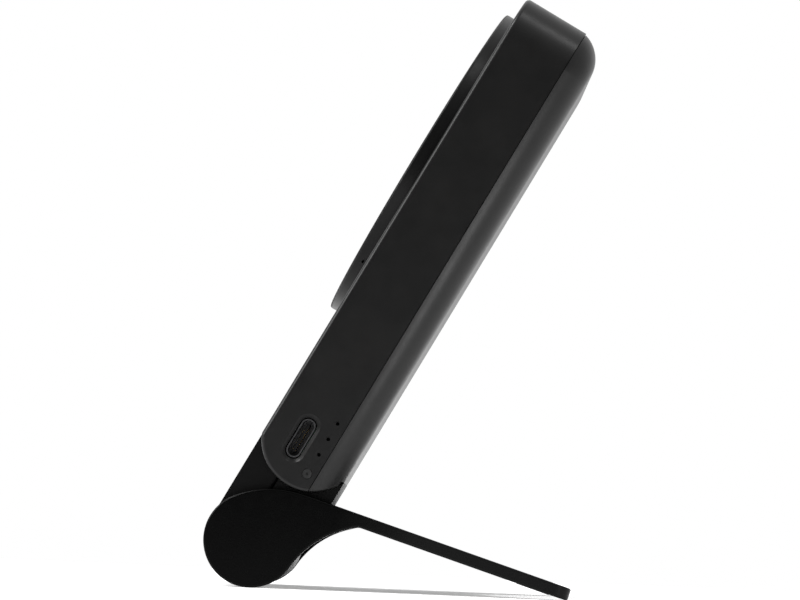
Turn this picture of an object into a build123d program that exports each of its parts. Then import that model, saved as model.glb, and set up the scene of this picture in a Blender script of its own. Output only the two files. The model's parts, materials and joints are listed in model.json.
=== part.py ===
from build123d import *
from math import asin, atan2, cos, degrees, hypot, radians, sin, sqrt
import os

# Pocket power bank with a round magnetic charging face on its front and a stand leg hinged at its
# lower end. The leg props the leaning slab from behind, and turns right round the lower end to lie
# flat on the front, where its forked end fits round the charging face.
#
# Frame: X runs along the hinge, the front faces -Y, +Z is up, the table is Z = 0, and the origin is
# under the middle of the open stand.
# Two tilted frames meet at the hinge axis. In both, local x is X, local y is the distance from the
# hinge axis along the slab or along the leg, and local z is the height out of the front face or out
# of the leg's outer face. With the leg folded flat the two frames coincide.

# ---------------------------------------------------------------- driving dimensions, millimetres
slab_width = 77.0
front_face = 9.7  # heights of the two faces above the hinge axis
rear_face = -10.5
slab_top = 128.95  # hinge axis to the top end
wall = 1.8
plan_corner = 10.0  # top corners, seen from the front
rear_round = 7.5  # rear shell's edges, which start just inside the front shell's
rim_round = 0.9  # front edges
end_round = 0.7  # edges of the rounded lower end
end_centre = 24.7  # axis of the rounded lower end, from the hinge axis
end_radius = 10.95
parting = -4.9  # plane between the two shells
parting_gap = 0.15
lip_height = 1.2
lip_thick = 0.85

hub_radius = 10.0
ear_thick = 4.4
plate_low = 10.0  # leg plate's inner face, from the hinge axis
plate_high = 12.7
plate_root = 0.9
toe = 67.0  # hinge axis to the leg's end
toe_corner = 3.2
prong_corner = 1.0
leg_edge = 0.45  # rounding of the leg's edges
pad_start = 55.8  # rubber pads under the prongs
pad_end = 62.9
pad_width = 6.4
pad_sink = 0.5
pad_proud = 0.1
hump_radius = 21.0
web_radius = 20.0  # hollow curve from the hub to the plate
web_slope = 32.0  # and the straight rise after it, which clears the folded case
web_foot = 20.2
web_blend = 3.0
open_angle = 78.2  # between slab and leg with the leg on its stop

barrel_radius = 9.85
barrel_half = 33.75  # half its length along the hinge
neck_seam = 1.9
arm_round = 0.8  # rear edges of the neck's front arm
seam_gap = 0.1
stop_gap = 0.06  # leg to neck cover, at the stop

disc_centre = 89.3
disc_radius = 37.4
disc_height = 2.9
fork_gap = 0.6  # leg fork to charging disc, folded
spigot_inner = 30.2
spigot_outer = 31.9
disc_rim = 1.8  # round the disc's soft pad
disc_pad_thick = 0.45
disc_web = 1.0  # disc's face down to the hollow behind it
magnet_inner = 23.2
magnet_outer = 27.9
coil_inner = 10.4
coil_outer = 21.8
shield_radius = 29.0
tray_thick = 1.0
shield_thick = 0.6
coil_thick = 1.3

shaft_radius = 2.5
sleeve_inner = 2.56
sleeve_outer = 4.4
sleeve_start = 14.0
sleeve_end = 30.0
sleeve_slit = 0.8
key_radius = 4.2  # hexagon that keys each shaft into its ear
key_depth = 3.2
bracket_low = 4.2  # steel bracket's two faces
bracket_high = 5.4

board_half = 0.5  # half the board's thickness, which is centred on height 0
board_width = 70.4
board_start = 18.0
board_end = 33.5
board_post = 2.2  # radii of the screw posts and of their bores
board_bore = 0.8
bracket_post = 2.4
bracket_bore = 0.9
port_along = 23.75
port_height = 2.1
port_dish = (11.2, 5.1)  # long and short sizes of the recess, the hole and the metal mouth
port_hole = (9.5, 3.7)
port_outside = (8.94, 3.16)
port_inside = (8.34, 2.56)
port_inset = 0.75
light_height = -2.95
light_places = (22.7, 26.5, 30.3)
button_along = 18.0
button_height = -2.9
button_radius = 1.0
button_dimple = 0.3

# ---------------------------------------------------------------- worked-out values and frames
slab_thick = front_face - rear_face
middle = (front_face + rear_face) / 2
half_width = slab_width / 2
inner_half = half_width - wall
inner_front = front_face - wall
inner_rear = rear_face + wall
disc_top = front_face + disc_height
ear_inner = half_width - ear_thick

# The leg slopes down until its rounded toe edge and the hub both touch the table.
toe_along = toe - leg_edge
toe_out = plate_low + leg_edge
leg_slope = degrees(
    asin((hub_radius - leg_edge) / hypot(toe_along, toe_out)) + atan2(toe_out, toe_along)
)
lean = open_angle - leg_slope


# The slab's rounded top rear edge is the rearmost point, and the hub the foremost.
rear_reach = (
    (slab_top - rear_round) * cos(radians(lean))
    - (rear_face + rear_round) * sin(radians(lean))
    + rear_round
)
hinge_y = (hub_radius - rear_reach) / 2


def tilted(angle):
    """Frame at the hinge axis whose local y rises at this angle towards the rear."""
    rise = radians(angle)
    return Plane(
        origin=(0, hinge_y, hub_radius), x_dir=(1, 0, 0), z_dir=(0, -sin(rise), cos(rise))
    )


slab = tilted(lean)
leg = tilted(-leg_slope)


def across(frame, x=0.0):
    """Plane square to the hinge at x. Local x runs along the frame, local y out of its face."""
    return Plane(origin=frame.from_local_coords((x, 0, 0)), x_dir=frame.y_dir, z_dir=frame.x_dir)


def save(name, block):
    """Labels a finished piece and writes it as parts/name.step."""
    block.part.label = name
    export_step(block.part, f"parts/{name}.step")


os.makedirs("parts", exist_ok=True)


# ---------------------------------------------------------------- the case
def slab_form(inset, rear_rounded=True):
    """Solid of the case drawn in by inset: flat front, rounded lower end, rounded rear edges."""
    out_of_face = Axis(slab.origin, slab.z_dir)
    with BuildPart() as form:
        with BuildSketch(slab.offset(rear_face + inset)):
            with Locations((0, slab_top / 2)):
                Rectangle(slab_width - 2 * inset, slab_top - 2 * inset)
        extrude(amount=slab_thick - 2 * inset)
        uprights = form.edges().filter_by(out_of_face)
        fillet(uprights.group_by(Axis(slab.origin, slab.y_dir))[-1], plan_corner - inset)
        if rear_rounded:
            fillet(form.faces().sort_by(out_of_face)[0].edges(), rear_round - 0.8 * inset)
        if inset == 0:
            fillet(form.faces().sort_by(out_of_face)[-1].edges(), rim_round)
        with BuildSketch(across(slab, -half_width)):
            with Locations((end_centre, middle)):
                Circle(end_radius - inset)
            with Locations(((end_centre + slab_top) / 2, middle)):
                Rectangle(slab_top - end_centre, slab_thick)
        extrude(amount=slab_width, mode=Mode.INTERSECT)
        if inset == 0:
            arcs = form.edges().filter_by(GeomType.CIRCLE)
            fillet(arcs.filter_by(lambda arc: abs(arc.radius - end_radius) < 0.01), end_round)
    return form.part


case_hollow = slab_form(wall)
lip_form = slab_form(wall - lip_thick)
rebate_form = slab_form(wall - lip_thick - 0.05)


def slice_form(form, low, high):
    """The part of a solid that lies between two heights in the slab's frame."""
    with BuildPart() as piece:
        add(form)
        with BuildSketch(slab.offset(low)):
            with Locations((0, slab_top / 2)):
                Rectangle(2 * slab_width, 2 * slab_top)
        extrude(amount=high - low, mode=Mode.INTERSECT)
    return piece.part


front_half = slice_form(slab_form(0, rear_rounded=False), parting, front_face)
rear_half = slice_form(slab_form(0), rear_face, parting - parting_gap)
lip_band = slice_form(lip_form, parting - parting_gap, parting + lip_height)
rebate_band = slice_form(rebate_form, parting, parting + lip_height + 0.1)

board_posts = [(-27, 28), (27, 28)]
bracket_posts = [(-19, 22.5), (19, 22.5)]

with BuildPart() as front_shell:
    add(front_half)
    add(case_hollow, mode=Mode.SUBTRACT)
    add(rebate_band, mode=Mode.SUBTRACT)
    # Seat for the charging disc.
    with BuildSketch(slab.offset(inner_front - 1)):
        with Locations((0, disc_centre)):
            Circle(spigot_outer + 0.05)
    extrude(amount=wall + 2, mode=Mode.SUBTRACT)
    # Posts for the board and for the steel bracket.
    with BuildSketch(slab.offset(board_half)):
        with Locations(board_posts):
            Circle(board_post)
            Circle(board_bore, mode=Mode.SUBTRACT)
    extrude(amount=inner_front - board_half + 0.3)
    with BuildSketch(slab.offset(bracket_high)):
        with Locations(bracket_posts):
            Circle(bracket_post)
            Circle(bracket_bore, mode=Mode.SUBTRACT)
    extrude(amount=inner_front - bracket_high + 0.3)
    # Slit in the rounded end for the bracket.
    with BuildSketch(slab.offset(bracket_low - 0.05)):
        with Locations((0, 16)):
            Rectangle(50.1, 6)
    extrude(amount=bracket_high - bracket_low + 0.1, mode=Mode.SUBTRACT)
    # Dished recess and hole of the charging port.
    with BuildSketch(across(slab, half_width)):
        with Locations((port_along, port_height)):
            SlotOverall(*port_dish)
    extrude(amount=-port_inset, taper=45, mode=Mode.SUBTRACT)
    with BuildSketch(across(slab, half_width)):
        with Locations((port_along, port_height)):
            SlotOverall(*port_hole)
    extrude(amount=-wall - 1, mode=Mode.SUBTRACT)
    # Holes for the three battery lights and the button.
    with BuildSketch(across(slab, half_width)):
        with Locations([(place, light_height) for place in light_places]):
            Circle(0.4)
        with Locations((button_along, button_height)):
            Circle(button_radius + 0.1)
    extrude(amount=-wall - 1, mode=Mode.SUBTRACT)

with BuildPart() as rear_shell:
    add(rear_half)
    add(lip_band)
    add(case_hollow, mode=Mode.SUBTRACT)
    # Notch in the lip behind the button.
    with BuildSketch(slab.offset(parting - parting_gap)):
        with Locations((inner_half, button_along)):
            Rectangle(4, 5)
    extrude(amount=lip_height + 1, mode=Mode.SUBTRACT)

save("front_shell", front_shell)
save("rear_shell", rear_shell)


# ---------------------------------------------------------------- the charging disc
def disc_layer(low, high, outer, inner=0.0):
    """Flat round layer on the charging disc's axis, between two heights."""
    with BuildPart() as layer:
        with BuildSketch(slab.offset(low)):
            with Locations((0, disc_centre)):
                Circle(outer)
                if inner:
                    Circle(inner, mode=Mode.SUBTRACT)
        extrude(amount=high - low)
    return layer.part


slot_turn = radians(-45)
slot_plane = Plane(
    origin=slab.from_local_coords(
        (disc_radius * cos(slot_turn), disc_centre + disc_radius * sin(slot_turn), front_face + 1)
    ),
    x_dir=slab.z_dir,
    z_dir=slab.x_dir * cos(slot_turn) + slab.y_dir * sin(slot_turn),
)

hollow_top = disc_top - disc_web
pad_floor = disc_top - disc_pad_thick
tray_low = inner_front - 0.2
tray_high = tray_low + tray_thick
shield_high = tray_high + shield_thick

with BuildPart() as charging_disc:
    add(disc_layer(front_face, disc_top, disc_radius))
    top_rim = charging_disc.faces().sort_by(Axis(slab.origin, slab.z_dir))[-1]
    fillet(top_rim.edges(), 0.5)
    add(disc_layer(front_face, hollow_top, disc_radius - 1.5), mode=Mode.SUBTRACT)
    add(disc_layer(pad_floor, disc_top, disc_radius - disc_rim), mode=Mode.SUBTRACT)
    add(disc_layer(tray_low, hollow_top, spigot_outer, spigot_inner))
    with BuildSketch(slot_plane):
        SlotOverall(1.1, 0.42, rotation=90)
    extrude(amount=-2, mode=Mode.SUBTRACT)

with BuildPart() as disc_pad:
    add(disc_layer(pad_floor, disc_top, disc_radius - disc_rim))

with BuildPart() as magnet_ring:
    add(disc_layer(shield_high, hollow_top, magnet_outer, magnet_inner))

with BuildPart() as charging_coil:
    add(disc_layer(shield_high, shield_high + coil_thick, coil_outer, coil_inner))

with BuildPart() as ferrite_shield:
    add(disc_layer(tray_high, shield_high, shield_radius))

with BuildPart() as coil_tray:
    add(disc_layer(tray_low, tray_high, spigot_inner))

save("charging_disc", charging_disc)
save("disc_pad", disc_pad)
save("magnet_ring", magnet_ring)
save("charging_coil", charging_coil)
save("ferrite_shield", ferrite_shield)
save("coil_tray", coil_tray)

# ---------------------------------------------------------------- battery and inner frame
cell_width = 62.0
cell_length = 84.0
cell_middle = 79.0
cell_front = 3.4
foam_width = 50.0
foam_length = 70.0
frame_width = 70.0
frame_length = cell_length + 2
frame_wall = 1.5
frame_floor = 3.8
frame_corner = 7.0

with BuildPart() as battery_cell:
    with BuildSketch(slab.offset(inner_rear)):
        with Locations((0, cell_middle)):
            Rectangle(cell_width, cell_length)
    extrude(amount=cell_front - inner_rear)
    fillet(battery_cell.edges().filter_by(Axis(slab.origin, slab.y_dir)), 2.5)

with BuildPart() as battery_foam:
    with BuildSketch(slab.offset(cell_front)):
        with Locations((0, cell_middle)):
            RectangleRounded(foam_width, foam_length, 2)
    extrude(amount=frame_floor - cell_front)

with BuildPart() as inner_frame:
    with BuildSketch(slab.offset(frame_floor)):
        with Locations((0, cell_middle)):
            RectangleRounded(frame_width, frame_length, frame_corner)
    extrude(amount=inner_front - frame_floor)
    with BuildSketch(slab.offset(frame_floor + 1)):
        with Locations((0, cell_middle)):
            RectangleRounded(
                frame_width - 2 * frame_wall, frame_length - 2 * frame_wall, frame_corner - frame_wall
            )
    extrude(amount=inner_front - frame_floor, mode=Mode.SUBTRACT)

save("battery_cell", battery_cell)
save("battery_foam", battery_foam)
save("inner_frame", inner_frame)

# ---------------------------------------------------------------- circuit board and port
board_middle = (board_start + board_end) / 2

with BuildPart() as main_board:
    with BuildSketch(slab.offset(-board_half)):
        with Locations((0, board_middle)):
            RectangleRounded(board_width, board_end - board_start, 1)
        with Locations(board_posts):
            Circle(0.95, mode=Mode.SUBTRACT)
    extrude(amount=2 * board_half)


def chip(x, along, width, length, low, high):
    """Rectangular component standing on the board between two heights."""
    with BuildPart() as block:
        with BuildSketch(slab.offset(low)):
            with Locations((x, along)):
                Rectangle(width, length)
        extrude(amount=high - low)
    return block.part


with BuildPart() as control_chip:
    add(chip(-4, 24, 6, 6, board_half, board_half + 0.9))

with BuildPart() as power_coil:
    add(chip(-20, 28.6, 6.5, 6.5, -board_half - 3.0, -board_half))
    fillet(power_coil.edges().filter_by(Axis(slab.origin, slab.z_dir)), 1)

shell_length = 7.35
port_mouth = half_width - port_inset

with BuildPart() as usb_c_shell:
    with BuildSketch(across(slab, port_mouth)):
        with Locations((port_along, port_height)):
            SlotOverall(*port_outside)
    extrude(amount=-shell_length)
    with BuildSketch(across(slab, port_mouth)):
        with Locations((port_along, port_height)):
            SlotOverall(*port_inside)
    extrude(amount=-shell_length + 0.4, mode=Mode.SUBTRACT)

with BuildPart() as usb_c_tongue:
    with BuildSketch(across(slab, port_mouth - shell_length + 0.4)):
        with Locations((port_along, port_height)):
            Rectangle(6.7, 0.7)
    extrude(amount=6.0)
    fillet(usb_c_tongue.faces().sort_by(Axis.X)[-1].edges(), 0.15)

save("main_board", main_board)
save("control_chip", control_chip)
save("power_coil", power_coil)
save("usb_c_shell", usb_c_shell)
save("usb_c_tongue", usb_c_tongue)


# ---------------------------------------------------------------- lights and button
with BuildPart() as light_guide:
    with BuildSketch(across(slab, inner_half - 0.9)):
        with Locations((light_places[1], -2.2)):
            Rectangle(10.2, 2.9)
    extrude(amount=0.85)
    with BuildSketch(across(slab, inner_half - 0.1)):
        with Locations([(place, light_height) for place in light_places]):
            Circle(0.37)
    extrude(amount=wall + 0.05)
save("light_guide", light_guide)

for number, place in enumerate(light_places, start=1):
    with BuildPart() as led:
        with BuildSketch(slab.offset(-board_half - 1.6)):
            with Locations((board_width / 2 - 0.4, place)):
                Rectangle(1.2, 2.0)
        extrude(amount=1.6)
        fillet(led.edges().filter_by(Axis.X).group_by(Axis(slab.origin, slab.z_dir))[0], 0.3)
    save(f"led_{number}", led)

with BuildPart() as power_button:
    with BuildSketch(across(slab, inner_half - 0.1)):
        with Locations((button_along, button_height)):
            Circle(button_radius)
    extrude(amount=wall + 0.1)
    with BuildSketch(across(slab, inner_half - 0.7)):
        with Locations((button_along, button_height)):
            Circle(1.6)
    extrude(amount=0.65)
    with BuildSketch(across(slab, half_width)):
        with Locations((button_along, button_height)):
            Circle(button_dimple)
    extrude(amount=-0.5, mode=Mode.SUBTRACT)

with BuildPart() as tact_switch:
    with BuildSketch(across(slab, inner_half - 1.2)):
        with Locations((button_along + 0.8, button_height + 0.5)):
            Rectangle(3.4, 3.8)
    extrude(amount=-2.4)

save("power_button", power_button)
save("tact_switch", tact_switch)


# ---------------------------------------------------------------- neck and hinge
hump_centre = Vector(
    sqrt((hump_radius - hub_radius) ** 2 - (plate_high - hump_radius) ** 2),
    plate_high - hump_radius,
)
end_corner = end_centre - sqrt(end_radius ** 2 - (slab_thick / 2) ** 2)
cover_front = neck_seam - seam_gap
with BuildPart() as neck_arm:
    with BuildSketch(across(slab, -barrel_half)):
        Circle(barrel_radius)
        with Locations((end_corner / 2, (neck_seam + front_face) / 2)):
            Rectangle(end_corner, front_face - neck_seam)
        with Locations((end_centre, middle)):
            Circle(end_radius, mode=Mode.SUBTRACT)
    extrude(amount=2 * barrel_half)
    along_slab = neck_arm.edges().filter_by(Axis(slab.origin, slab.y_dir))
    fillet(along_slab.group_by(Axis(slab.origin, slab.z_dir))[0], arm_round)
    # Bores for the hinge sleeves, and a thin slot for the bracket.
    for facing in (-1, 1):
        with BuildSketch(across(slab, facing * sleeve_start)):
            Circle(sleeve_outer)
        extrude(amount=facing * (barrel_half - sleeve_start), mode=Mode.SUBTRACT)
    with BuildSketch(slab.offset(bracket_low)):
        with Locations((0, 12)):
            Rectangle(50, 12)
    extrude(amount=bracket_high - bracket_low, mode=Mode.SUBTRACT)

with BuildPart() as neck_cover:
    with BuildSketch(across(slab, -barrel_half)):
        with Locations((end_corner / 2, (cover_front + rear_face) / 2)):
            Rectangle(end_corner, cover_front - rear_face)
        with Locations((end_centre, middle)):
            Circle(end_radius, mode=Mode.SUBTRACT)
    extrude(amount=2 * barrel_half)
    # Its lower face follows the leg's outer face where the leg stops.
    with BuildSketch(across(leg, -barrel_half)):
        with Locations(hump_centre):
            Circle(hump_radius + stop_gap)
        with Locations((hump_centre.X + hump_radius, plate_high + stop_gap - hump_radius)):
            Rectangle(2 * hump_radius, 2 * hump_radius)
    extrude(amount=2 * barrel_half, mode=Mode.SUBTRACT)

with BuildPart() as hinge_bracket:
    with BuildSketch(slab.offset(bracket_low)):
        with Locations((0, 16)):
            Rectangle(50, 20)
        with Locations(bracket_posts):
            Circle(1.0, mode=Mode.SUBTRACT)
    extrude(amount=bracket_high - bracket_low)

save("neck_arm", neck_arm)
save("neck_cover", neck_cover)
save("hinge_bracket", hinge_bracket)

for name, facing in (("left", -1), ("right", 1)):
    with BuildPart() as hinge_shaft:
        with BuildSketch(across(slab, facing * (sleeve_start + 0.3))):
            Circle(shaft_radius)
        extrude(amount=facing * (ear_inner - sleeve_start - 0.3))
        with BuildSketch(across(leg, facing * ear_inner)):
            RegularPolygon(key_radius, 6)
        extrude(amount=facing * key_depth)
    with BuildPart() as friction_sleeve:
        with BuildSketch(across(slab, facing * sleeve_start)):
            Circle(sleeve_outer)
            Circle(sleeve_inner, mode=Mode.SUBTRACT)
            with Locations((0, -sleeve_outer)):
                Rectangle(sleeve_slit, sleeve_outer, mode=Mode.SUBTRACT)
        extrude(amount=facing * (sleeve_end - sleeve_start))
    save(f"hinge_shaft_{name}", hinge_shaft)
    save(f"friction_sleeve_{name}", friction_sleeve)


def screw(x, along, seat, thread_radius, thread, head_radius, head):
    """Screw square to the slab: head on a seat height, thread towards the front."""
    with BuildPart() as body:
        with BuildSketch(slab.offset(seat)):
            with Locations((x, along)):
                Circle(head_radius)
        extrude(amount=-head)
        with BuildSketch(slab.offset(seat)):
            with Locations((x, along)):
                Circle(thread_radius)
        extrude(amount=thread)
    return body.part


for name, board_at, bracket_at in zip(("left", "right"), board_posts, bracket_posts):
    with BuildPart() as board_screw:
        add(screw(*board_at, -board_half, thread_radius=board_bore, thread=5.0,
                  head_radius=1.7, head=1.0))
    with BuildPart() as bracket_screw:
        add(screw(*bracket_at, bracket_low, thread_radius=bracket_bore, thread=3.4,
                  head_radius=1.9, head=1.0))
    save(f"board_screw_{name}", board_screw)
    save(f"bracket_screw_{name}", bracket_screw)

# ---------------------------------------------------------------- the stand leg
# The web's hollow curve touches the hub circle and the straight rise.
web_rise = radians(web_slope)
rise_offset = web_foot * sin(web_rise) - plate_low * cos(web_rise)
web_turn = web_rise - asin((web_radius + rise_offset) / (hub_radius + web_radius))
hub_to_web = Vector(cos(web_turn), sin(web_turn))
web_centre = hub_to_web * (hub_radius + web_radius)
web_touch = hub_to_web * hub_radius
web_end = web_centre + Vector(-sin(web_rise), cos(web_rise)) * web_radius
web_corner = Vector(web_foot, plate_low)
hump_touch = hump_centre * (-hub_radius / (hump_radius - hub_radius))
hump_end = Vector(hump_centre.X, plate_high)


def arc_middle(centre, radius, first, last):
    """Point half-way along the shorter arc between two points on a circle."""
    return centre + ((first - centre).normalized() + (last - centre).normalized()).normalized() * radius


fork_radius = disc_radius + fork_gap
pad_places = [(side * (half_width - 1.3 - pad_width / 2), (pad_start + pad_end) / 2)
              for side in (-1, 1)]

with BuildPart() as stand_leg:
    with BuildSketch(across(leg, -half_width)):
        with BuildLine():
            ThreePointArc(hump_touch, arc_middle(hump_centre, hump_radius, hump_touch, hump_end),
                          hump_end)
            Polyline(hump_end, (toe, plate_high), (toe, plate_low), web_corner, web_end)
            ThreePointArc(web_end, arc_middle(web_centre, web_radius, web_end, web_touch),
                          web_touch)
            ThreePointArc(web_touch, (-hub_radius * 0.5, -hub_radius * sqrt(0.75)), hump_touch)
        make_face()
        fillet(vertices().sort_by_distance(web_corner)[0], web_blend)
    extrude(amount=slab_width)
    # Fork that fits round the charging disc, with rounded toe corners.
    with BuildSketch(leg.offset(plate_low - 1)):
        with Locations((0, disc_centre)):
            Circle(fork_radius)
    extrude(amount=plate_high - plate_low + 2, mode=Mode.SUBTRACT)
    uprights = stand_leg.edges().filter_by(Axis(leg.origin, leg.z_dir))
    toe_edges = uprights.group_by(Axis(leg.origin, leg.y_dir))[-1].sort_by(Axis.X)
    fillet([toe_edges[0], toe_edges[-1]], toe_corner)
    fillet([toe_edges[1], toe_edges[2]], prong_corner)
    # Room for the neck between the two ears.
    with BuildSketch(across(leg, -ear_inner)):
        with Locations((15, plate_low - 15)):
            Rectangle(60, 30)
        with Locations((plate_root - 15, 0)):
            Rectangle(30, 60)
    extrude(amount=2 * ear_inner, mode=Mode.SUBTRACT)
    sides = stand_leg.faces().filter_by(Axis.X).sort_by(Axis.X)
    fillet(sides[0].edges() + sides[-1].edges(), leg_edge)
    # Hexagonal seats for the two shafts.
    for facing in (-1, 1):
        with BuildSketch(across(leg, facing * ear_inner)):
            RegularPolygon(key_radius, 6)
        extrude(amount=facing * key_depth, mode=Mode.SUBTRACT)
    # Pockets for the rubber pads.
    with BuildSketch(leg.offset(plate_low)):
        with Locations(*pad_places):
            RectangleRounded(pad_width, pad_end - pad_start, 1.5)
    extrude(amount=pad_sink, mode=Mode.SUBTRACT)

save("stand_leg", stand_leg)

for name, place in zip(("left", "right"), pad_places):
    with BuildPart() as foot_pad:
        with BuildSketch(leg.offset(plate_low - pad_proud)):
            with Locations(place):
                RectangleRounded(pad_width, pad_end - pad_start, 1.5)
        extrude(amount=pad_proud + pad_sink)
    save(f"foot_pad_{name}", foot_pad)
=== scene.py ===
import json
import math

import bmesh
import bpy
from mathutils import Matrix, Vector


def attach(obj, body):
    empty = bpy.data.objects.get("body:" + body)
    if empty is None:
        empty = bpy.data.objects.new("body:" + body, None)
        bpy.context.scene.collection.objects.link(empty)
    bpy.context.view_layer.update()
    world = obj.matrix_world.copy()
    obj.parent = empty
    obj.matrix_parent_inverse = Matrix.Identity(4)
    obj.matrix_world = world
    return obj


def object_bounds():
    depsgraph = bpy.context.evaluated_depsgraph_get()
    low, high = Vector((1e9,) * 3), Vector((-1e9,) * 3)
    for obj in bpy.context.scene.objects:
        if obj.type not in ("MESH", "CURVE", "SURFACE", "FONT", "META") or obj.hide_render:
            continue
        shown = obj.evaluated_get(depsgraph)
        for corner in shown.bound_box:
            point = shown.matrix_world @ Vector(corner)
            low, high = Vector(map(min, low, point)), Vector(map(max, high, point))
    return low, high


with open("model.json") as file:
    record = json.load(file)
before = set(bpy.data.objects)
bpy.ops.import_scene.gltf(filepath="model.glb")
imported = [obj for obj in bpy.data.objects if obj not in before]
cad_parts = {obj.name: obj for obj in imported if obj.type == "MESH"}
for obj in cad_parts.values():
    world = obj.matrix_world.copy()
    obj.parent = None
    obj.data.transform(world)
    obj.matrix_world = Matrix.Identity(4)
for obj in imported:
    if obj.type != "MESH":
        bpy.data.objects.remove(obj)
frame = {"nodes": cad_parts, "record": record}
nodes = frame["nodes"]
cad_low, cad_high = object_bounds()
middle = (cad_low + cad_high) / 2
MM = 0.001

hinge = next(joint for joint in frame["record"]["behaviour"]["joints"] if joint["type"] == "hinge")
face = next(mount for mount in frame["record"]["mounts"] if mount["name"] == "charging_face")
face_normal = Vector(face["axis"])


def slab_frame(origin):
    """Frame on the leaning slab: x along the hinge, y up the slab, z out of its front."""
    across = Vector((1, 0, 0))
    turn = Matrix((across, face_normal.cross(across), face_normal)).transposed().to_4x4()
    return Matrix.Translation(Vector(origin)) @ turn


# ---------------------------------------------------------------- shader helpers
BLEND_START, BLEND_END = 0.35, 0.65  # noise values where one colour turns into the other
RING_PERIOD = math.pi / 10  # distance between a wave texture's rings when its scale is 1


def new_material(name):
    """A material, its node tree, and its Principled shader."""
    material = bpy.data.materials.new(name)
    material.use_nodes = True
    tree = material.node_tree
    return material, tree, tree.nodes["Principled BSDF"]


def put(tree, kind, **values):
    """A new shader node with its input sockets or properties set by name."""
    node = tree.nodes.new(kind)
    for key, value in values.items():
        if key in node.inputs:
            node.inputs[key].default_value = value
        else:
            setattr(node, key, value)
    return node


def noise(tree, size, detail=2.0, roughness=0.5, stretch=(1, 1, 1)):
    """Noise with features of about this size in metres, fixed to the piece."""
    where = put(tree, "ShaderNodeTexCoord")
    scale = put(tree, "ShaderNodeMapping")
    scale.inputs["Scale"].default_value = stretch
    grain = put(tree, "ShaderNodeTexNoise", Scale=1 / size, Detail=detail, Roughness=roughness)
    tree.links.new(where.outputs["Object"], scale.inputs["Vector"])
    tree.links.new(scale.outputs["Vector"], grain.inputs["Vector"])
    return grain.outputs["Fac"]


def rings(tree, pitch):
    """Rings about the charging disc's axis, this far apart in metres."""
    where = put(tree, "ShaderNodeTexCoord")
    place = put(tree, "ShaderNodeMapping", vector_type="TEXTURE")
    disc_frame = slab_frame(face["pos_m"])
    place.inputs["Location"].default_value = disc_frame.translation
    place.inputs["Rotation"].default_value = disc_frame.to_euler()
    wave = put(tree, "ShaderNodeTexWave", wave_type="RINGS", rings_direction="Z",
               Scale=RING_PERIOD / pitch)
    tree.links.new(where.outputs["Object"], place.inputs["Vector"])
    tree.links.new(place.outputs["Vector"], wave.inputs["Vector"])
    return wave.outputs["Fac"]


def spread(tree, value, low, high, start=0.3, end=0.7):
    """Maps a value between start and end onto low to high."""
    node = put(tree, "ShaderNodeMapRange")
    node.inputs["From Min"].default_value = start
    node.inputs["From Max"].default_value = end
    node.inputs["To Min"].default_value = low
    node.inputs["To Max"].default_value = high
    tree.links.new(value, node.inputs["Value"])
    return node.outputs["Result"]


def blend_colours(tree, value, first, second):
    """Colour that goes from first to second as the value goes from BLEND_START to BLEND_END."""
    ramp = put(tree, "ShaderNodeValToRGB")
    stops = zip(ramp.color_ramp.elements, (BLEND_START, BLEND_END), (first, second))
    for stop, position, colour in stops:
        stop.position = position
        stop.color = (*colour, 1)
    tree.links.new(value, ramp.inputs["Fac"])
    return ramp.outputs["Color"]


def bump(tree, shader, height, depth):
    """Adds surface relief of this depth in metres to the shader."""
    node = put(tree, "ShaderNodeBump", Strength=1.0, Distance=depth)
    tree.links.new(height, node.inputs["Height"])
    tree.links.new(node.outputs["Normal"], shader.inputs["Normal"])


def grey(level, warmth=0.0):
    """Linear grey, with this share more red and less blue."""
    return (level * (1 + warmth), level, level * (1 - warmth))


# ---------------------------------------------------------------- materials
PLATE_START = -12 * MM  # where along Y the leg's darker ear tone changes into its lighter plate tone
PLATE_END = 5 * MM
DRAWN = (0.1, 1, 1)  # stretches noise into lines along X


def moulded_plastic(name, level, roughness, specular):
    """Black moulded plastic: fine spark-eroded grain, faint cloudiness and uneven sheen."""
    material, tree, shader = new_material(name)
    shader.inputs["Specular IOR Level"].default_value = specular
    cloud = noise(tree, 9 * MM, detail=3)
    tree.links.new(blend_colours(tree, cloud, grey(level * 0.85), grey(level * 1.15, 0.02)),
                   shader.inputs["Base Color"])
    tree.links.new(spread(tree, noise(tree, 3 * MM, detail=4), roughness - 0.02, roughness + 0.02),
                   shader.inputs["Roughness"])
    bump(tree, shader, noise(tree, 0.3 * MM, detail=3, roughness=0.6), 0.012 * MM)
    return material


def coated_metal(name, ear_level, plate_level, roughness, specular):
    """Cast leg in satin black, its ears much darker than its plate, the tone blending along Y."""
    material, tree, shader = new_material(name)
    shader.inputs["Specular IOR Level"].default_value = specular
    where = put(tree, "ShaderNodeTexCoord")
    split = put(tree, "ShaderNodeSeparateXYZ")
    tree.links.new(where.outputs["Object"], split.inputs["Vector"])
    on_plate = spread(tree, split.outputs["Y"], 0.0, 1.0, start=PLATE_START, end=PLATE_END)
    cloud = noise(tree, 12 * MM, detail=2)
    mix = put(tree, "ShaderNodeMix", data_type="RGBA")
    tree.links.new(on_plate, mix.inputs["Factor"])
    for level, socket in ((ear_level, "A"), (plate_level, "B")):
        tone = blend_colours(tree, cloud, grey(level * 0.9), grey(level * 1.1))
        colours = [each for each in mix.inputs if each.name == socket and each.type == "RGBA"]
        tree.links.new(tone, colours[0])
    blended = next(each for each in mix.outputs if each.type == "RGBA")
    tree.links.new(blended, shader.inputs["Base Color"])
    tree.links.new(spread(tree, noise(tree, 2 * MM, detail=3), roughness - 0.03, roughness + 0.03),
                   shader.inputs["Roughness"])
    bump(tree, shader, noise(tree, 0.6 * MM, detail=2), 0.006 * MM)
    return material


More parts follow.
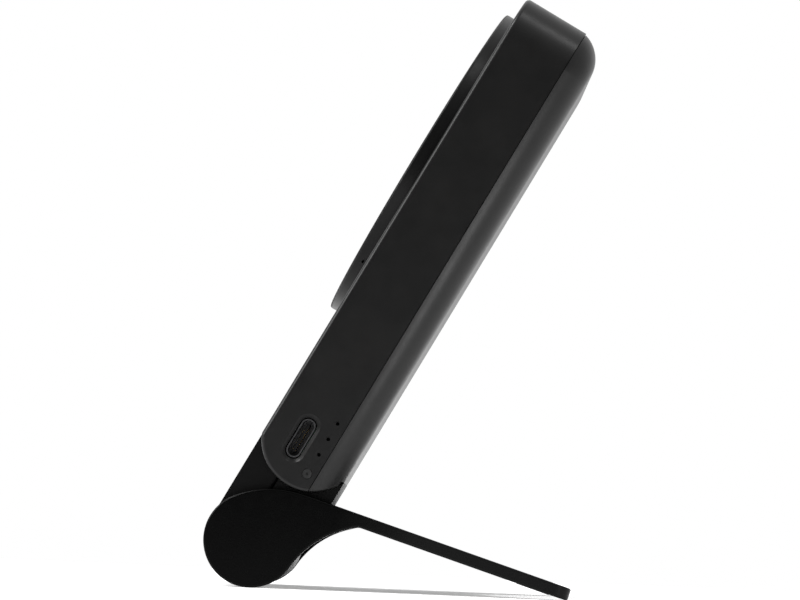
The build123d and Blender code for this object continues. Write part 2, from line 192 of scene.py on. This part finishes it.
def soft_rubber(name, level):
    """Matte silicone with dusty specks."""
    material, tree, shader = new_material(name)
    shader.inputs["Specular IOR Level"].default_value = 0.25
    shader.inputs["Sheen Weight"].default_value = 0.05
    shader.inputs["Sheen Roughness"].default_value = 0.5
    specks = noise(tree, 0.8 * MM, detail=5, roughness=0.7)
    tree.links.new(blend_colours(tree, specks, grey(level * 0.9), grey(level * 1.1)),
                   shader.inputs["Base Color"])
    tree.links.new(spread(tree, noise(tree, 4 * MM), 0.72, 0.78), shader.inputs["Roughness"])
    bump(tree, shader, noise(tree, 0.2 * MM, detail=2), 0.01 * MM)
    return material


def metal(name, colour, roughness, stretch=(1, 1, 1)):
    """Bare metal with fine uneven marks, which DRAWN turns into lines."""
    material, tree, shader = new_material(name)
    shader.inputs["Metallic"].default_value = 1.0
    lines = noise(tree, 0.3 * MM, detail=4, stretch=stretch)
    dark = tuple(c * 0.85 for c in colour)
    tree.links.new(blend_colours(tree, lines, dark, colour), shader.inputs["Base Color"])
    tree.links.new(spread(tree, lines, roughness - 0.08, roughness + 0.1), shader.inputs["Roughness"])
    bump(tree, shader, lines, 0.004 * MM)
    return material


def plain_plastic(name, colour, roughness, specular=0.5):
    """Plain material of the small pieces, with faint clouds and grain."""
    material, tree, shader = new_material(name)
    shader.inputs["Specular IOR Level"].default_value = specular
    cloud = noise(tree, 1.5 * MM, detail=3)
    dark = tuple(c * 0.8 for c in colour)
    tree.links.new(blend_colours(tree, cloud, dark, colour), shader.inputs["Base Color"])
    tree.links.new(spread(tree, cloud, roughness - 0.05, roughness + 0.05), shader.inputs["Roughness"])
    bump(tree, shader, noise(tree, 0.4 * MM), 0.005 * MM)
    return material


def foil(name):
    """Crinkled aluminium pouch of the battery cell."""
    material, tree, shader = new_material(name)
    shader.inputs["Metallic"].default_value = 1.0
    creases = noise(tree, 7 * MM, detail=6, roughness=0.65)
    tree.links.new(blend_colours(tree, creases, (0.5, 0.51, 0.53), (0.72, 0.73, 0.75)),
                   shader.inputs["Base Color"])
    tree.links.new(spread(tree, creases, 0.25, 0.4), shader.inputs["Roughness"])
    bump(tree, shader, creases, 0.3 * MM)
    return material


def wound_copper(name):
    """Enamelled copper wire, wound in rings about the charging disc's axis."""
    material, tree, shader = new_material(name)
    shader.inputs["Metallic"].default_value = 1.0
    turns = rings(tree, 0.5 * MM)
    tree.links.new(blend_colours(tree, turns, (0.3, 0.1, 0.04), (0.8, 0.4, 0.2)),
                   shader.inputs["Base Color"])
    strands = noise(tree, 0.5 * MM, detail=5, roughness=0.7)
    tree.links.new(spread(tree, strands, 0.25, 0.45), shader.inputs["Roughness"])
    bump(tree, shader, turns, 0.2 * MM)
    return material


# ---------------------------------------------------------------- nodes and their materials
def dress(material, *names):
    """Gives CAD nodes this material in every slot."""
    for name in names:
        mesh = nodes[name].data
        if not mesh.materials:
            mesh.materials.append(material)
        for index in range(len(mesh.materials)):
            mesh.materials[index] = material


case_black = moulded_plastic("case_black", level=0.0038, roughness=0.34, specular=0.25)
# The neck gets a darker copy of the case plastic: painted shade for the recess under the housing's
# overhang.
neck_black = moulded_plastic("neck_black", level=0.0015, roughness=0.42, specular=0.1)
disc_black = moulded_plastic("disc_black", level=0.0015, roughness=0.34, specular=0.15)
leg_black = coated_metal("leg_black", ear_level=0.0002, plate_level=0.0045, roughness=0.26,
                         specular=0.07)
pad_black = soft_rubber("pad_black", level=0.02)
foot_grey = soft_rubber("foot_grey", level=0.05)
port_steel = metal("port_steel", (0.07, 0.07, 0.072), roughness=0.35, stretch=DRAWN)
steel = metal("steel", (0.5, 0.5, 0.51), roughness=0.4, stretch=DRAWN)
nickel = metal("nickel", (0.62, 0.6, 0.56), roughness=0.2)
dark_plastic = plain_plastic("dark_plastic", (0.006, 0.006, 0.0065), roughness=0.5, specular=0.1)
frame_plastic = plain_plastic("frame_plastic", (0.03, 0.03, 0.032), roughness=0.55)
lens_plastic = plain_plastic("lens_plastic", grey(0.0004), roughness=0.5, specular=0.0)
button_plastic = plain_plastic("button_plastic", grey(0.012), roughness=0.35, specular=0.3)
led_plastic = plain_plastic("led_plastic", (0.8, 0.78, 0.6), roughness=0.3)
board_green = plain_plastic("board_green", (0.01, 0.09, 0.035), roughness=0.35)
ferrite_grey = plain_plastic("ferrite_grey", (0.035, 0.033, 0.033), roughness=0.6)
foam_grey = plain_plastic("foam_grey", grey(0.12), roughness=0.85)

dress(case_black, "front_shell", "rear_shell")
dress(neck_black, "neck_arm", "neck_cover")
dress(disc_black, "charging_disc")
dress(leg_black, "stand_leg")
dress(pad_black, "disc_pad")
dress(foot_grey, "foot_pad_left", "foot_pad_right")
dress(port_steel, "usb_c_shell")
dress(dark_plastic, "usb_c_tongue", "control_chip", "power_coil", "tact_switch")
dress(frame_plastic, "inner_frame", "coil_tray")
dress(lens_plastic, "light_guide")
dress(button_plastic, "power_button")
dress(led_plastic, "led_1", "led_2", "led_3")
dress(board_green, "main_board")
dress(foil("cell_foil"), "battery_cell")
dress(foam_grey, "battery_foam")
dress(nickel, "magnet_ring")
dress(wound_copper("coil_copper"), "charging_coil")
dress(ferrite_grey, "ferrite_shield")
dress(steel, "hinge_bracket", "board_screw_left", "board_screw_right", "bracket_screw_left",
      "bracket_screw_right", "friction_sleeve_left", "friction_sleeve_right",
      "hinge_shaft_left", "hinge_shaft_right")


# ---------------------------------------------------------------- contacts in the charging port
CONTACTS = 12  # in each row
CONTACT_PITCH = 0.5 * MM
CONTACT_SIZE = Vector((4.0, 0.26, 0.04)) * MM
CONTACTS_MIDDLE = Vector((34.3, 23.75, 2.1)) * MM  # between the rows, from the hinge, on the slab
TONGUE_HALF = 0.35 * MM  # half the tongue's thickness


def add_contacts():
    """Two rows of gold contacts on the port's tongue."""
    mesh = bpy.data.meshes.new("port_contacts")
    shape = bmesh.new()
    for side in (-1, 1):
        for number in range(CONTACTS):
            along = (number - (CONTACTS - 1) / 2) * CONTACT_PITCH
            centre = CONTACTS_MIDDLE + Vector((0, along, side * TONGUE_HALF))
            bmesh.ops.create_cube(
                shape, size=1, matrix=Matrix.Translation(centre) @ Matrix.Diagonal(CONTACT_SIZE).to_4x4()
            )
    shape.transform(slab_frame(hinge["pos_m"]))
    shape.to_mesh(mesh)
    shape.free()
    contacts = bpy.data.objects.new("port_contacts", mesh)
    bpy.context.scene.collection.objects.link(contacts)
    mesh.materials.append(metal("contact_gold", (0.75, 0.52, 0.2), roughness=0.3, stretch=DRAWN))
    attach(contacts, "case")


add_contacts()


# ---------------------------------------------------------------- camera, floor and lights
VIEW_AZIMUTH = math.radians(-0.05)
VIEW_ELEVATION = math.radians(-2.9)
VIEW_ROLL = math.radians(2.367)
VIEW_DISTANCE = 1.0
VIEW_TARGET = Vector((0, -0.126, 63.636)) * MM
SENSOR_WIDTH = 36  # in millimetres, like the lens
LENS = 205.6
FAR_CLIP = 50
TABLE_HALF = 0.35
DIM_START, DIM_END = 0.55, 0.95  # how far a direction points towards +X
DIM_STRENGTH = 0.2


def aim(azimuth, elevation):
    """Unit vector from the object towards a viewer, with azimuth counted from +X towards +Y."""
    flat = math.cos(elevation)
    return Vector((flat * math.cos(azimuth), flat * math.sin(azimuth), math.sin(elevation)))


def add_camera():
    """Long-lens camera on the port's side, a little above the table, looking slightly up."""
    camera = bpy.data.objects.new("camera", bpy.data.cameras.new("camera"))
    bpy.context.scene.collection.objects.link(camera)
    camera.data.sensor_width = SENSOR_WIDTH
    camera.data.lens = LENS
    camera.data.clip_end = FAR_CLIP
    back = aim(VIEW_AZIMUTH, VIEW_ELEVATION)
    right = Vector((-math.sin(VIEW_AZIMUTH), math.cos(VIEW_AZIMUTH), 0))
    up = back.cross(right)
    turned_right = right * math.cos(VIEW_ROLL) + up * math.sin(VIEW_ROLL)
    turned_up = up * math.cos(VIEW_ROLL) - right * math.sin(VIEW_ROLL)
    turn = Matrix((turned_right, turned_up, back)).transposed().to_4x4()
    camera.matrix_world = Matrix.Translation(VIEW_TARGET + back * VIEW_DISTANCE) @ turn
    bpy.context.scene.camera = camera


def add_softbox(name, direction, distance, size, power):
    """Rectangular soft light that shines at the object's middle and isn't seen itself."""
    data = bpy.data.lights.new(name, "AREA")
    data.shape = "RECTANGLE"
    data.size, data.size_y = size
    data.energy = power
    light = bpy.data.objects.new(name, data)
    bpy.context.scene.collection.objects.link(light)
    place = middle + Vector(direction).normalized() * distance
    light.location = place
    light.rotation_euler = (place - middle).to_track_quat("Z", "Y").to_euler()
    light.visible_camera = False


def add_floor():
    """Pale table top the object stands on."""
    mesh = bpy.data.meshes.new("floor")
    shape = bmesh.new()
    bmesh.ops.create_grid(shape, x_segments=1, y_segments=1, size=TABLE_HALF)
    shape.to_mesh(mesh)
    shape.free()
    floor = bpy.data.objects.new("floor", mesh)
    bpy.context.scene.collection.objects.link(floor)
    material, tree, shader = new_material("floor_white")
    tone = blend_colours(tree, noise(tree, 300 * MM), grey(0.86), grey(0.88))
    tree.links.new(tone, shader.inputs["Base Color"])
    shader.inputs["Roughness"].default_value = 0.8
    shader.inputs["Specular IOR Level"].default_value = 0.2
    shader.inputs["Emission Color"].default_value = (1, 1, 1, 1)
    shader.inputs["Emission Strength"].default_value = 0.35
    mesh.materials.append(material)


def add_world():
    """White surround, dimmed towards the port's side in all but what the camera sees directly."""
    world = bpy.data.worlds.new("studio")
    world.use_nodes = True
    tree = world.node_tree
    background = tree.nodes["Background"]
    background.inputs["Color"].default_value = (1, 1, 1, 1)
    where = put(tree, "ShaderNodeTexCoord")
    split = put(tree, "ShaderNodeSeparateXYZ")
    tree.links.new(where.outputs["Generated"], split.inputs["Vector"])
    dimmed = spread(tree, split.outputs["X"], 1.0, DIM_STRENGTH, start=DIM_START, end=DIM_END)
    path = put(tree, "ShaderNodeLightPath")
    seen = put(tree, "ShaderNodeMath", operation="MAXIMUM")
    tree.links.new(dimmed, seen.inputs[0])
    tree.links.new(path.outputs["Is Camera Ray"], seen.inputs[1])
    tree.links.new(seen.outputs["Value"], background.inputs["Strength"])
    bpy.context.scene.world = world


add_camera()
add_floor()
add_world()
add_softbox("overhead", direction=(0.3, 0.46, 0.84), distance=0.8, size=(0.12, 0.15), power=0.6)
add_softbox("front_left", direction=(0.42, -0.78, 0.46), distance=0.8, size=(0.35, 0.4), power=4.5)
add_softbox("upper_left", direction=(0.2, -0.49, 0.85), distance=0.8, size=(0.2, 0.2), power=3)
add_softbox("low_right", direction=(0.76, 0.56, -0.33), distance=0.17, size=(0.03, 0.12), power=0.09)
bpy.context.scene.view_settings.view_transform = "Standard"
